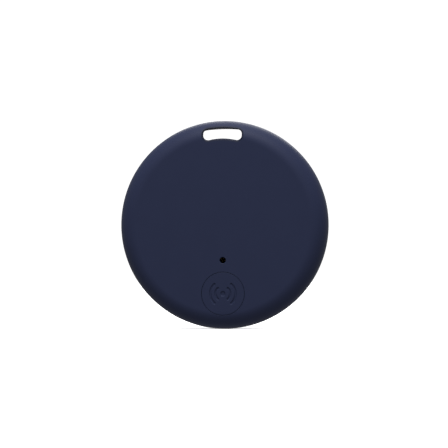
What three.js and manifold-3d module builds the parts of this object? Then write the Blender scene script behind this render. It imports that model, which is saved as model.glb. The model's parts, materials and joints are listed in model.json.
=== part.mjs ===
// A round tracker tag: a two-part casing with a lanyard slot, a push button over a tactile switch,
// a sounder behind a small hole, a circuit board, and a coin cell under a bayonet door.
// Millimetres. X is to the right, the front faces -Y and Z is up. The origin is the middle of the
// lanyard slot. The disc's own axis runs along Y, straight below the slot.
import * as THREE from "three";
import { mergeVertices } from "three/addons/utils/BufferGeometryUtils.js";
import Module from "manifold-3d";

const wasm = await Module();
wasm.setup();

// ---- Casing ----
const TAG_DIAMETER = 37;
const TAG_THICKNESS = 8;
const WALL = 1.2;
const EDGE_ROUND = 3;            // how far the rounded edge reaches in from the rim
const RIM_BAND = 1.2;            // height of the straight band round the rim
const PARTING_GAP = 0.12;        // the line between the two halves
const TONGUE_THICKNESS = 0.5;    // the lip of the front half that snaps into the back half
const TONGUE_HEIGHT = 0.75;
const TONGUE_ROOT = 0.4;         // how far the lip starts inside its own half
const TONGUE_GAP = 0.08;
const BEAD_HEIGHT = 0.12;        // the snap bead along the lip
const BEAD_FROM = 0.4;           // where the bead starts and ends, as shares of the lip's height
const BEAD_TO = 0.95;

// ---- Facets ----
const CASE_SEGMENTS = 36;        // everything that turns about the disc's axis
const EDGE_STEPS = 4;
const BUTTON_SEGMENTS = 32;
const SOUNDER_SEGMENTS = 24;
const SMALL_SEGMENTS = 16;
const TINY_SEGMENTS = 12;
const CORNER_STEPS = 4;
const RAMP_STEPS = 9;
const LUG_STEPS = 4;
const DISC_SEGMENTS = 20;
const HALF_ROUND_STEPS = 6;
const WIRE_SIDES = 6;
const WIRE_STEPS = 14;

// ---- Lanyard slot ----
const SLOT_WIDTH = 6.83;         // at the front face
const SLOT_BACK_WIDTH = 8.7;     // the slot opens towards the back face
const SLOT_HEIGHT = 1.82;
const SLOT_BRIDGE = 1.37;        // material between the slot and the rim
const SLOT_LOWER_RADIUS = 10;    // the lower edge bulges up on this radius
const SLOT_CORNER = 0.85;
const COLLAR_WALL = 1;           // the wall round the slot inside the casing

// ---- Button and switch ----
const BUTTON_DIAMETER = 7.6;
const BUTTON_GAP = 0.06;
const BUTTON_RIM_MARGIN = 2.45;  // from the rim to the edge of the button's bore
const BUTTON_FLANGE_WIDTH = 0.4; // how far the flange reaches past the cap
const BUTTON_FLANGE_THICKNESS = 0.3;
const BUTTON_FLANGE_GAP = 0.05;  // between the flange and the inside of the wall
const BUTTON_POCKET_GAP = 0.35;
const BUTTON_TRAVEL = 0.2;
const PAD_RADIUS = 1.1;
const PAD_GAP = 0.02;
const SWITCH_WIDTH = 3.6;
const SWITCH_DEPTH = 3;
const SWITCH_FLOOR = 0.08;
const SWITCH_CAVITY_RADIUS = 1.2;
const COVER_THICKNESS = 0.08;
const PLUNGER_RADIUS = 0.6;
const PLUNGER_FOOT_RADIUS = 0.95;
const PLUNGER_FOOT = 0.08;
const PLUNGER_LEFT = 0.09;       // how far the plunger still stands out when it is pressed
const PLUNGER_GAP = 0.12;
const DOME_THICKNESS = 0.05;
const TERMINAL_SHEET = 0.1;
const TERMINAL_REACH = 0.5;
const TERMINAL_WIDTH = 0.5;
const SLIP = 0.02;               // the least clearance between parts that lie against each other

// ---- Sounder ----
const SOUND_HOLE_DIAMETER = 1.1;
const SOUND_HOLE_ABOVE_BUTTON = 2.07;
const MESH_RADIUS = 0.95;
const MESH_RECESS = 0.3;
const MESH_THICKNESS = 0.15;
const SOUNDER_RADIUS = 6;
const SOUNDER_TAPE_WIDTH = 0.6;
const SOUNDER_TAPE = 0.2;
const SOUNDER_PLATE = 0.2;
const CERAMIC_RADIUS = 4.4;
const CERAMIC = 0.15;
const SOUNDER_BUTTON_GAP = 0.3;
const WIRE_RADIUS = 0.18;

// ---- Circuit board ----
const FRONT_SPACE = 1.35;        // room between the front wall and the board
const BOARD_THICKNESS = 0.8;
const BOARD_RIM_GAP = 0.9;       // between the board's edge and the casing's inner wall
const BOARD_SLOT_GAP = 0.35;
const POST_LENGTH = 1.4;
const POST_REACH = 0.2;          // how far the posts stand in from the inner wall
const POST_HALF_ANGLE = rad(6);
const POST_ANGLES = [rad(48), rad(132), rad(228), rad(312)];

// ---- Parts on the board: length, width and height ----
const RADIO_CHIP = [5, 5, 0.55];
const DRIVER_CHIP = [2.9, 1.6, 0.55];
const DRIVER_LEADS = 3;          // on each side
const LEAD_REACH = 0.4;
const BOOST_COIL = [2.6, 0.6];   // flange diameter and height
const MAIN_CRYSTAL = [2, 1.6, 0.45];
const SLEEP_CRYSTAL = [2, 1.2, 0.45];
const ANTENNA = [3.2, 1.6, 0.55];
const MATCHING_COIL = [1, 0.5, 0.45];
const CAPACITOR = [1, 0.5, 0.45];
const RESISTOR = [1, 0.5, 0.35];
const ANTENNA_TURN = rad(-50);
const END_CAP = 0.22;            // a chip part's terminal, as a share of its length
const BETWEEN_CAPS = 0.9;        // its body's width and height, as a share of the terminals'
const PACKAGE_FOOT = 0.96;       // a leadless package's foot, as a share of its moulding
const PACKAGE_FOOT_TOP = 0.4;    // shares of the package's height
const PACKAGE_MOULDING_FROM = 0.3;
const LEAD_SHOULDER = 0.55;
const STAND_OFF = 0.15;
const LEAD_WIDTH = 0.4;          // as a share of the leads' pitch
const COIL_FOOT = 0.25;          // the coil's foot, winding and upper flange, as shares of its height
const COIL_WINDING = [0.2, 0.85];
const COIL_FLANGE = 0.8;
const COIL_WAIST = 0.4;          // the winding's radius, as a share of the coil's width

// ---- Coin cell and its holder ----
const CELL_DIAMETER = 20;
const CELL_THICKNESS = 3.2;
const CELL_BOARD_GAP = 0.3;      // the height of the pressed negative contact
const CELL_SHEET = 0.25;
const CELL_CORNER = 0.2;
const CELL_CRIMP = 0.3;
const CELL_CAP_HEIGHT = 1;
const CELL_CAP_MARGIN = 1.1;     // from the can's side to the cap's
const CELL_BRIM_MARGIN = 0.75;
const GASKET_MARGIN = 0.72;
const GASKET_LOW = 0.35;
const GASKET_HIGH = 1.2;
const CELL_DISC_MARGIN = 2;      // from the can's side to the two active discs
const SEPARATOR_MARGIN = 1.6;
const SEPARATOR_FILM = 0.1;
const HOLDER_GAP = 0.2;
const HOLDER_WALL = 0.9;
const HOLDER_HEIGHT = 1.35;
const PEG_RADIUS = 0.5;
const PEG_GAP = 0.06;
const PEG_ANGLES = [rad(90), rad(210), rad(330)];
const CONTACT_SHEET = 0.15;
const NEGATIVE_WIDTH = 7;
const NEGATIVE_BASE = 3;         // from the middle of the cell to the sheet's fixed end
const NEGATIVE_FINGER = 4.6;
const NEGATIVE_SLIT = 1;
const POSITIVE_WIDTH = 3.6;
const POSITIVE_FOOT = 1.4;
const WINDOW_GAP = 0.3;          // each side of the positive contact, in the holder's wall

// ---- Battery door ----
const DOOR_FLANGE = 1.05;
const DOOR_FLANGE_WIDTH = 1.2;   // how far the flange reaches past the skirt
const DOOR_GAP = 0.3;            // round the flange, and between the skirt and the ledges
const DOOR_CELL_GAP = 0.1;
const SKIRT_GAP = 0.2;
const SKIRT_WALL = 0.6;
const LUG_LENGTH = 1;
const LUG_THICKNESS = 0.6;
const LUG_HALF_ANGLE = rad(12);
const LUG_COUNT = 3;
const LUG_GAP = 0.05;
const NOTCH_GAP_ANGLE = rad(3);
const DOOR_TURN = rad(50);
const DOOR_LIFT = 0.4;           // the rise of the bayonet ramp over the whole turn
const STOP_ANGLE = rad(4);
const SEAL_SECTION = 0.5;
const CURB_WALL = 0.9;
const LEDGE_DEPTH = 0.74;        // the ledge's thickness where a locked lug sits
const COIN_SLOT_LENGTH = 12;
const COIN_SLOT_WIDTH = 2;
const COIN_SLOT_DEPTH = 0.55;
const DOOR_CHAMFER = 0.2;

// ---- Worked out from the sizes above ----
const rim = TAG_DIAMETER / 2;
const face = TAG_THICKNESS / 2;
const flatRadius = rim - EDGE_ROUND;
const innerRim = rim - WALL;
const innerFace = face - WALL;
const slotTop = rim - SLOT_BRIDGE;
const slotMiddle = slotTop - SLOT_HEIGHT / 2;
const slotLowerCentre = slotTop - SLOT_HEIGHT - SLOT_LOWER_RADIUS;

const capRadius = BUTTON_DIAMETER / 2;
const boreRadius = capRadius + BUTTON_GAP;
const flangeRadius = capRadius + BUTTON_FLANGE_WIDTH;
const buttonDrop = rim - BUTTON_RIM_MARGIN - boreRadius;
const flangeFront = -innerFace + BUTTON_FLANGE_GAP;
const flangeBack = flangeFront + BUTTON_FLANGE_THICKNESS;

const soundHoleDrop = buttonDrop - capRadius - SOUND_HOLE_ABOVE_BUTTON;
const sounderDrop = buttonDrop - flangeRadius - SOUNDER_BUTTON_GAP - SOUNDER_RADIUS;

const boardFront = -innerFace + FRONT_SPACE;
const boardBack = boardFront + BOARD_THICKNESS;
const boardRadius = innerRim - BOARD_RIM_GAP;
const switchHeight = SWITCH_FLOOR + DOME_THICKNESS + BUTTON_TRAVEL + PLUNGER_FOOT + 2 * SLIP;
const coverFront = boardFront - switchHeight - COVER_THICKNESS;
const plungerTop = coverFront - BUTTON_TRAVEL - PLUNGER_LEFT;

const cellRadius = CELL_DIAMETER / 2;
const cellLow = boardBack + CELL_BOARD_GAP;
const cellHigh = cellLow + CELL_THICKNESS;
const holderInner = cellRadius + HOLDER_GAP;
const pegRing = holderInner + HOLDER_WALL / 2;

const skirtInner = cellRadius + SKIRT_GAP;
const skirtOuter = skirtInner + SKIRT_WALL;
const flangeOuter = skirtOuter + DOOR_FLANGE_WIDTH;
const recessRadius = flangeOuter + DOOR_GAP;
const ledgeInner = skirtOuter + DOOR_GAP;
const curbOuter = recessRadius + CURB_WALL;
const flangeUnder = face - DOOR_FLANGE;
const recessFloor = flangeUnder - SEAL_SECTION - 2 * SLIP;
const rampPitch = DOOR_LIFT / DOOR_TURN;
const lugTop = recessFloor - LEDGE_DEPTH - LUG_GAP;
const lugSpacing = (2 * Math.PI) / LUG_COUNT;
const ledgeEnd = DOOR_TURN - LUG_HALF_ANGLE - NOTCH_GAP_ANGLE;
const ledgeStart = DOOR_TURN + LUG_HALF_ANGLE + NOTCH_GAP_ANGLE - lugSpacing;
const rampStart = -LUG_HALF_ANGLE - NOTCH_GAP_ANGLE;
const skirtEnd = lugTop - LUG_THICKNESS - rampPitch * LUG_HALF_ANGLE;

function rad(degrees) {
  return THREE.MathUtils.degToRad(degrees);
}

// ---- Shapes ----

// A closed geometry as a solid that can be joined and cut.
function solidOf(geometry) {
  const bare = geometry.index ? geometry.toNonIndexed() : geometry.clone();
  bare.deleteAttribute("normal");
  bare.deleteAttribute("uv");
  const merged = mergeVertices(bare, 1e-4);
  const corners = merged.index.array;
  const kept = [];
  for (let i = 0; i < corners.length; i += 3) {
    const [a, b, c] = corners.slice(i, i + 3);
    if (a !== b && b !== c && c !== a) kept.push(a, b, c);
  }
  return new wasm.Manifold(
    new wasm.Mesh({
      numProp: 3,
      vertProperties: merged.attributes.position.array,
      triVerts: new Uint32Array(kept),
    }),
  );
}

function geometryOf(solid) {
  const { vertProperties, triVerts } = solid.getMesh();
  return new THREE.BufferGeometry()
    .setAttribute("position", new THREE.BufferAttribute(vertProperties, 3))
    .setIndex(new THREE.BufferAttribute(triVerts, 1));
}

// A profile of [radius, y] turned round Y. It runs anticlockwise round the material.
function turned(profile, segments) {
  const points = profile.map(([radius, y]) => new THREE.Vector2(radius, y));
  return solidOf(new THREE.LatheGeometry(points, segments));
}

function ring(inner, outer, low, high, segments) {
  return turned([[inner, low], [outer, low], [outer, high], [inner, high], [inner, low]], segments);
}

function round(radius, low, high, segments) {
  const height = high - low;
  return solidOf(
    new THREE.CylinderGeometry(radius, radius, height, segments).translate(0, low + height / 2, 0),
  );
}

function block(width, low, high, depth, x = 0, z = 0) {
  const height = high - low;
  return solidOf(new THREE.BoxGeometry(width, height, depth).translate(x, low + height / 2, z));
}

// An outline of [x, z] points given a thickness along Y, and widened by a factor that depends on y.
function slab(outline, low, high, widened = level(1)) {
  const shape = new THREE.Shape(outline.map(([x, z]) => new THREE.Vector2(x, z)));
  const thick = new THREE.ExtrudeGeometry(shape, { depth: high - low, bevelEnabled: false });
  thick.rotateX(Math.PI / 2).translate(0, high, 0);
  const place = thick.attributes.position;
  for (let i = 0; i < place.count; i++) place.setX(i, place.getX(i) * widened(place.getY(i)));
  return solidOf(thick);
}

// Points along an arc in a plane, without the last one, so that arcs join into one outline.
function arc(cx, cz, radius, from, to, steps) {
  const points = [];
  for (let i = 0; i < steps; i++) {
    const angle = from + ((to - from) * i) / steps;
    points.push([cx + radius * Math.cos(angle), cz + radius * Math.sin(angle)]);
  }
  return points;
}

// A block bent round Y. Angles run from +Z towards +X; bottom and top give y at an angle.
function arcBlock(inner, outer, from, to, bottom, top, steps) {
  const box = new THREE.BoxGeometry(1, 1, 1, steps, 1, 1);
  const place = box.attributes.position;
  for (let i = 0; i < place.count; i++) {
    const angle = from + (to - from) * (place.getX(i) + 0.5);
    const radius = place.getZ(i) > 0 ? outer : inner;
    const y = place.getY(i) > 0 ? top(angle) : bottom(angle);
    place.setXYZ(i, radius * Math.sin(angle), y, radius * Math.cos(angle));
  }
  return solidOf(box);
}

function level(y) {
  return () => y;
}

// A strip of sheet metal bent along [along, y] points, its width running along Z.
function strip(route, thickness, width) {
  const half = thickness / 2;
  const sides = route.map((point, i) => {
    const before = route[Math.max(i - 1, 0)];
    const after = route[Math.min(i + 1, route.length - 1)];
    const run = new THREE.Vector2(after[0] - before[0], after[1] - before[1]).normalize();
    return [point, [-run.y * half, run.x * half]];
  });
  const left = sides.map(([p, n]) => new THREE.Vector2(p[0] + n[0], p[1] + n[1]));
  const right = sides.map(([p, n]) => new THREE.Vector2(p[0] - n[0], p[1] - n[1]));
  const shape = new THREE.Shape([...right, ...left.reverse()]);
  const thick = new THREE.ExtrudeGeometry(shape, { depth: width, bevelEnabled: false });
  return solidOf(thick.translate(0, 0, -width / 2));
}

// How much wider the lanyard slot is at y than at the front face.
function slotFlare(y) {
  const whole = SLOT_BACK_WIDTH / SLOT_WIDTH - 1;
  return 1 + (whole * (y + face)) / TAG_THICKNESS;
}

// The lanyard slot, seen along Y and measured from the disc's axis, grown outwards by an amount.
function slotOutline(grow = 0) {
  const corner = SLOT_CORNER + grow;
  const x = SLOT_WIDTH / 2 - SLOT_CORNER;
  const upper = Math.sqrt((slotTop - SLOT_CORNER) ** 2 - x ** 2);
  const lowerReach = Math.sqrt((SLOT_LOWER_RADIUS + SLOT_CORNER) ** 2 - x ** 2);
  const lower = slotLowerCentre + lowerReach;
  const topAngle = Math.atan2(upper, x);
  const lowAngle = Math.atan2(lowerReach, x);
  const { PI } = Math;
  return [
    ...arc(x, upper, corner, 0, topAngle, CORNER_STEPS),
    ...arc(0, 0, slotTop + grow, topAngle, PI - topAngle, CORNER_STEPS),
    ...arc(-x, upper, corner, PI - topAngle, PI, CORNER_STEPS),
    ...arc(-x, lower, corner, PI, 2 * PI - lowAngle, CORNER_STEPS),
    ...arc(0, slotLowerCentre, SLOT_LOWER_RADIUS - grow, PI - lowAngle, lowAngle, CORNER_STEPS),
    ...arc(x, lower, corner, PI + lowAngle, 2 * PI, CORNER_STEPS),
  ];
}

// ---- Casing ----

// The rounded edge from the flat face to the rim, on the front side, as [radius, y] points.
function edge(reach, depth) {
  return Array.from({ length: EDGE_STEPS + 1 }, (_, i) => {
    const turn = (i / EDGE_STEPS) * (Math.PI / 2);
    return [flatRadius + reach * Math.sin(turn), -RIM_BAND / 2 - depth * Math.cos(turn)];
  });
}

// Half of the casing without its hollow, from the face to the parting line.
function halfBlank() {
  const part = -PARTING_GAP / 2;
  const profile = [[0, -face], ...edge(EDGE_ROUND, face - RIM_BAND / 2), [rim, part], [0, part]];
  return turned(profile, CASE_SEGMENTS);
}

function halfHollow() {
  const past = WALL;
  const depth = innerFace - RIM_BAND / 2;
  const curve = edge(EDGE_ROUND - WALL, depth);
  const profile = [[0, -innerFace], ...curve, [innerRim, past], [0, past]];
  return turned(profile, CASE_SEGMENTS);
}

// The wall round the slot, left standing between the face and the parting line.
function slotCollar() {
  return slab(slotOutline(COLLAR_WALL), -face, face, slotFlare);
}

function slotCut() {
  return slab(slotOutline(), -face - WALL, face + WALL, slotFlare);
}

// The snap lip of the front half, or with a gap, the rebate that takes it.
function tongue(gap) {
  const inner = innerRim - (gap > 0 ? WALL : 0);
  const outer = innerRim + TONGUE_THICKNESS + gap;
  const top = TONGUE_HEIGHT + gap;
  const beadLow = TONGUE_HEIGHT * BEAD_FROM - gap;
  const beadHigh = TONGUE_HEIGHT * BEAD_TO;
  const bead = outer + BEAD_HEIGHT;
  const lip = turned(
    [
      [inner, -TONGUE_ROOT],
      [outer, -TONGUE_ROOT],
      [outer, beadLow],
      [bead, beadLow + BEAD_HEIGHT],
      [bead, beadHigh - BEAD_HEIGHT + gap],
      [outer, beadHigh + gap],
      [outer, top],
      [inner, top],
      [inner, -TONGUE_ROOT],
    ],
    CASE_SEGMENTS,
  );
  const collar = (SLOT_WIDTH + 2 * COLLAR_WALL) * slotFlare(TONGUE_HEIGHT);
  const away = collar + 2 * (TONGUE_THICKNESS - gap);
  return lip.subtract(block(away, -WALL, 2 * WALL, rim, 0, rim));
}

// Posts between the casing and the board, from y to the wall.
function boardPosts(low, high) {
  const outer = innerRim - POST_REACH;
  const inner = outer - POST_LENGTH;
  return POST_ANGLES.map((angle) => {
    const from = angle - POST_HALF_ANGLE;
    const to = angle + POST_HALF_ANGLE;
    return arcBlock(inner, outer, from, to, level(low), level(high), 2);
  });
}

// How deep a post can start in the wall behind it without showing outside.
function postRoot() {
  const outer = innerRim - POST_REACH;
  const share = (outer - flatRadius) / EDGE_ROUND;
  return RIM_BAND / 2 + (face - RIM_BAND / 2) * Math.sqrt(1 - share ** 2) - WALL / 3;
}

function frontShell() {
  const root = postRoot();
  const bore = round(boreRadius, -face - WALL, 0, BUTTON_SEGMENTS);
  const pocketRadius = flangeRadius + BUTTON_POCKET_GAP;
  const pocket = round(pocketRadius, -innerFace, 0, BUTTON_SEGMENTS);
  const hole = round(SOUND_HOLE_DIAMETER / 2, -face - WALL, 0, TINY_SEGMENTS);
  const seat = round(MESH_RADIUS + SLIP, -innerFace - MESH_RECESS, 0, SMALL_SEGMENTS);
  return halfBlank()
    .subtract(halfHollow().subtract(slotCollar()))
    .add(tongue(0))
    .add(wasm.Manifold.union(boardPosts(-root, boardFront)))
    .subtract(slotCut())
    .subtract(bore.add(pocket).translate([0, 0, -buttonDrop]))
    .subtract(hole.add(seat).translate([0, 0, -soundHoleDrop]));
}

// The underside of a bayonet ledge, which rises with the turn of the door.
function rampAt(angle) {
  return lugTop + LUG_GAP + rampPitch * Math.max(angle, rampStart);
}

function bayonetLedges() {
  const curbLow = rampAt(rampStart) - SLIP;
  const pieces = [ring(recessRadius, curbOuter, curbLow, innerFace + WALL / 3, CASE_SEGMENTS)];
  const outer = recessRadius + CURB_WALL / 2;
  const stopEnd = -LUG_HALF_ANGLE - NOTCH_GAP_ANGLE / 3;
  for (let i = 0; i < LUG_COUNT; i++) {
    const turn = i * lugSpacing;
    const ramp = (angle) => rampAt(angle - turn);
    const from = turn + ledgeStart;
    const to = turn + ledgeEnd;
    const stopFrom = turn + stopEnd - STOP_ANGLE;
    const stopTo = turn + stopEnd;
    const stopLow = level(skirtEnd);
    pieces.push(arcBlock(ledgeInner, outer, from, to, ramp, level(recessFloor), RAMP_STEPS));
    pieces.push(arcBlock(ledgeInner, outer, stopFrom, stopTo, stopLow, level(recessFloor), 1));
  }
  return wasm.Manifold.union(pieces);
}

function backShell() {
  const turnOver = (half) => half.mirror([0, 1, 0]);
  const recess = round(recessRadius, 0, face + WALL, CASE_SEGMENTS);
  return turnOver(halfBlank())
    .subtract(turnOver(halfHollow()).subtract(slotCollar()))
    .subtract(tongue(TONGUE_GAP))
    .add(wasm.Manifold.union(boardPosts(boardBack, postRoot())))
    .subtract(recess)
    .add(bayonetLedges())
    .subtract(slotCut());
}

// ---- Button and switch, about the button's own axis ----

// The cap's face carries on the curve of the casing, so it is cut by the casing's outer form.
function buttonCap() {
  const cap = round(capRadius, -face - WALL, flangeFront + SLIP, BUTTON_SEGMENTS);
  const flange = round(flangeRadius, flangeFront, flangeBack, BUTTON_SEGMENTS);
  return cap.intersect(halfBlank().translate([0, 0, buttonDrop])).add(flange);
}

function buttonPad() {
  return round(PAD_RADIUS, flangeBack, plungerTop - PAD_GAP, SMALL_SEGMENTS);
}

function switchBody() {
  const shell = block(SWITCH_WIDTH, -switchHeight, 0, SWITCH_DEPTH);
  return shell.subtract(round(SWITCH_CAVITY_RADIUS, -switchHeight * 2, -SWITCH_FLOOR, SMALL_SEGMENTS));
}

function switchCover() {
  const low = -switchHeight - COVER_THICKNESS;
  const plate = block(SWITCH_WIDTH, low, -switchHeight, SWITCH_DEPTH);
  return plate.subtract(round(PLUNGER_RADIUS + PLUNGER_GAP, low * 2, 0, SMALL_SEGMENTS));
}

function switchPlunger() {
  const footFront = -switchHeight + SLIP;
  const foot = round(PLUNGER_FOOT_RADIUS, footFront, footFront + PLUNGER_FOOT, SMALL_SEGMENTS);
  return round(PLUNGER_RADIUS, plungerTop - boardFront, footFront + SLIP, SMALL_SEGMENTS).add(foot);
}

// A snap dome: its rim stands on the switch floor and its crown lies under the plunger's foot.
function switchDome() {
  const radius = SWITCH_CAVITY_RADIUS - SLIP * 4;
  const crown = -switchHeight + SLIP * 2 + PLUNGER_FOOT;
  const rise = -SWITCH_FLOOR - crown - DOME_THICKNESS;
  const steps = 3;
  const outside = [];
  const inside = [];
  for (let i = 0; i <= steps; i++) {
    const across = (radius * i) / steps;
    const y = crown + rise * (i / steps) ** 2;
    outside.push([across, y]);
    inside.unshift([across, y + DOME_THICKNESS]);
  }
  return turned([...outside, ...inside], SMALL_SEGMENTS);
}

function switchTerminal() {
  const rise = switchHeight / 2;
  const half = TERMINAL_SHEET / 2;
  const bend = TERMINAL_REACH / 2;
  const route = [[0, -rise], [bend, -rise], [bend, -half], [TERMINAL_REACH, -half]];
  return strip(route, TERMINAL_SHEET, TERMINAL_WIDTH);
}

// ---- Sounder, about its own axis, stacked from the front wall ----

function soundMesh() {
  return round(MESH_RADIUS, -MESH_RECESS, -MESH_RECESS + MESH_THICKNESS, SMALL_SEGMENTS);
}

function sounderTape() {
  return ring(SOUNDER_RADIUS - SOUNDER_TAPE_WIDTH, SOUNDER_RADIUS, 0, SOUNDER_TAPE, SOUNDER_SEGMENTS);
}

function sounderPlate() {
  return round(SOUNDER_RADIUS, SOUNDER_TAPE, SOUNDER_TAPE + SOUNDER_PLATE, SOUNDER_SEGMENTS);
}

function sounderCeramic() {
  const low = SOUNDER_TAPE + SOUNDER_PLATE;
  return round(CERAMIC_RADIUS, low, low + CERAMIC, SOUNDER_SEGMENTS);
}

// A lead from a solder joint on the sounder to one on the board, both flat ended.
function wire(points) {
  const route = new THREE.CatmullRomCurve3(points.map((p) => new THREE.Vector3(...p)));
  const section = new THREE.Shape(
    arc(0, 0, WIRE_RADIUS, 0, 2 * Math.PI, WIRE_SIDES).map(([x, y]) => new THREE.Vector2(x, y)),
  );
  return solidOf(new THREE.ExtrudeGeometry(section, { steps: WIRE_STEPS, extrudePath: route }));
}

// ---- Circuit board ----

function circuitBoard() {
  const pegHole = () => round(PEG_RADIUS + PEG_GAP, boardFront - WALL, boardBack + WALL, TINY_SEGMENTS);
  const clear = slotOutline(COLLAR_WALL + BOARD_SLOT_GAP);
  const notch = slab(clear, boardFront - WALL, boardBack + WALL, slotFlare);
  return PEG_ANGLES.reduce(
    (board, angle) => board.subtract(pegHole().translate(onRing(pegRing, angle))),
    round(boardRadius, boardFront, boardBack, CASE_SEGMENTS).subtract(notch),
  );
}

function onRing(radius, angle, y = 0) {
  return [radius * Math.sin(angle), y, radius * Math.cos(angle)];
}

// A surface-mounted part: a body with a terminal lapped round each end, as one moulded piece.
function chipPart(length, width, height) {
  const body = block(length, -height * BETWEEN_CAPS, 0, width * BETWEEN_CAPS);
  const cap = length * END_CAP;
  const end = (side) => block(cap, -height, 0, width, side * (length / 2 - cap / 2));
  return body.add(end(1)).add(end(-1));
}

// A leadless package: a moulded body on a slightly smaller foot.
function flatPackage(width, depth, height) {
  const foot = block(width * PACKAGE_FOOT, -height * PACKAGE_FOOT_TOP, 0, depth * PACKAGE_FOOT);
  return block(width, -height, -height * PACKAGE_MOULDING_FROM, depth).add(foot);
}

// A package with leads bent down along two sides.
function driverChip() {
  const [width, depth, height] = DRIVER_CHIP;
  let whole = block(width, -height, -height * STAND_OFF, depth);
  const pitch = width / DRIVER_LEADS;
  const shoulder = -height * LEAD_SHOULDER;
  for (let i = 0; i < DRIVER_LEADS; i++) {
    const x = (i - (DRIVER_LEADS - 1) / 2) * pitch;
    whole = whole.add(block(pitch * LEAD_WIDTH, shoulder, 0, depth + 2 * LEAD_REACH, x));
  }
  return whole;
}

// A drum coil: two flanges and the winding between them, on a square foot.
function drumCoil(width, height) {
  const [bottom, top] = COIL_WINDING;
  const foot = block(width, -height * COIL_FOOT, 0, width);
  const winding = round(width * COIL_WAIST, -height * top, -height * bottom, DISC_SEGMENTS);
  return foot.add(winding).add(round(width / 2, -height, -height * COIL_FLANGE, DISC_SEGMENTS));
}

// ---- Coin cell, from its lower face ----

function cellCan() {
  const open = cellRadius - CELL_SHEET;
  const base = CELL_THICKNESS - CELL_SHEET;
  return turned(
    [
      [0, base],
      [open, base],
      [open, CELL_CRIMP],
      [cellRadius - CELL_CORNER, CELL_CRIMP / 2],
      [cellRadius, CELL_CRIMP],
      [cellRadius, CELL_THICKNESS - CELL_CORNER],
      [cellRadius - CELL_CORNER, CELL_THICKNESS],
      [0, CELL_THICKNESS],
    ],
    CASE_SEGMENTS,
  );
}

function cellCap() {
  const wide = cellRadius - CELL_CAP_MARGIN;
  const brim = cellRadius - CELL_BRIM_MARGIN;
  const corner = CELL_CORNER * 0.75;
  const brimLow = CELL_CAP_HEIGHT - CELL_SHEET;
  return turned(
    [
      [0, 0],
      [wide - corner, 0],
      [wide, corner],
      [wide, brimLow],
      [brim, brimLow],
      [brim, CELL_CAP_HEIGHT],
      [wide - CELL_SHEET, CELL_CAP_HEIGHT],
      [wide - CELL_SHEET, CELL_SHEET],
      [0, CELL_SHEET],
    ],
    CASE_SEGMENTS,
  );
}

function cellGasket() {
  const inner = cellRadius - GASKET_MARGIN;
  const outer = cellRadius - CELL_SHEET - SLIP;
  return ring(inner, outer, GASKET_LOW, GASKET_HIGH, CASE_SEGMENTS);
}

function cellDisc(radius, low, high) {
  return round(radius, low, high, DISC_SEGMENTS);
}

// ---- Cell holder and contacts, from the back of the board ----

function cellHolder() {
  const wall = ring(holderInner, holderInner + HOLDER_WALL, 0, HOLDER_HEIGHT, CASE_SEGMENTS);
  const wide = POSITIVE_WIDTH + 2 * WINDOW_GAP;
  const window = block(holderInner, -WALL, HOLDER_HEIGHT + WALL, wide, -holderInner);
  const pegs = PEG_ANGLES.map((angle) =>
    round(PEG_RADIUS, -BOARD_THICKNESS, SLIP * 2, TINY_SEGMENTS).translate(onRing(pegRing, angle)),
  );
  return wall.subtract(window).add(wasm.Manifold.union(pegs));
}

// A sheet on the board with three sprung fingers that reach up to the cell's cap.
function negativeContact() {
  const half = CONTACT_SHEET / 2;
  const reach = CELL_BOARD_GAP - half - SLIP;
  const finger = NEGATIVE_FINGER;
  const rise = [[finger * 0.2, half], [finger * 0.8, reach]];
  const route = [[-NEGATIVE_BASE, half], ...rise, [finger, reach]];
  const sheet = strip(route, CONTACT_SHEET, NEGATIVE_WIDTH);
  const aside = NEGATIVE_WIDTH / 6 + NEGATIVE_SLIT / 4;
  const slit = (z) => block(finger, -WALL, WALL, NEGATIVE_SLIT, finger / 2 + half, z);
  return sheet.subtract(slit(aside)).subtract(slit(-aside));
}

// A leaf that stands on the board, folds over and presses on the side of the can.
function positiveContact() {
  const half = CONTACT_SHEET / 2;
  const touch = cellRadius + half + SLIP;
  const stand = holderInner + HOLDER_WALL;
  const route = [
    [stand + POSITIVE_FOOT, half],
    [stand, half],
    [stand - 0.15, HOLDER_HEIGHT * 0.75],
    [stand - 0.45, HOLDER_HEIGHT * 0.85],
    [touch, HOLDER_HEIGHT * 0.6],
    [touch + 0.25, HOLDER_HEIGHT * 0.3],
  ];
  return strip(route, CONTACT_SHEET, POSITIVE_WIDTH);
}

// ---- Battery door ----

function batteryDoor() {
  const inner = cellHigh + DOOR_CELL_GAP;
  const body = turned(
    [
      [0, inner],
      [skirtInner, inner],
      [skirtInner, skirtEnd],
      [skirtOuter, skirtEnd],
      [skirtOuter, flangeUnder],
      [flangeOuter, flangeUnder],
      [flangeOuter, face - DOOR_CHAMFER],
      [flangeOuter - DOOR_CHAMFER, face],
      [0, face],
    ],
    CASE_SEGMENTS,
  );
  const run = COIN_SLOT_LENGTH / 2 - COIN_SLOT_WIDTH / 2;
  const end = COIN_SLOT_WIDTH / 2;
  const outline = [
    ...arc(run, 0, end, -Math.PI / 2, Math.PI / 2, HALF_ROUND_STEPS),
    [run, end],
    ...arc(-run, 0, end, Math.PI / 2, 1.5 * Math.PI, HALF_ROUND_STEPS),
    [-run, -end],
  ];
  const coinSlot = slab(outline, face - COIN_SLOT_DEPTH, face + WALL);
  return wasm.Manifold.union([body, ...doorLugs()]).subtract(coinSlot);
}

function doorLugs() {
  const lugs = [];
  for (let i = 0; i < LUG_COUNT; i++) {
    const turn = i * lugSpacing;
    const top = (angle) => lugTop + rampPitch * (angle - turn);
    const bottom = (angle) => top(angle) - LUG_THICKNESS;
    const from = turn - LUG_HALF_ANGLE;
    const to = turn + LUG_HALF_ANGLE;
    const root = skirtOuter - SKIRT_WALL / 2;
    lugs.push(arcBlock(root, skirtOuter + LUG_LENGTH, from, to, bottom, top, LUG_STEPS));
  }
  return lugs;
}

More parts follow.
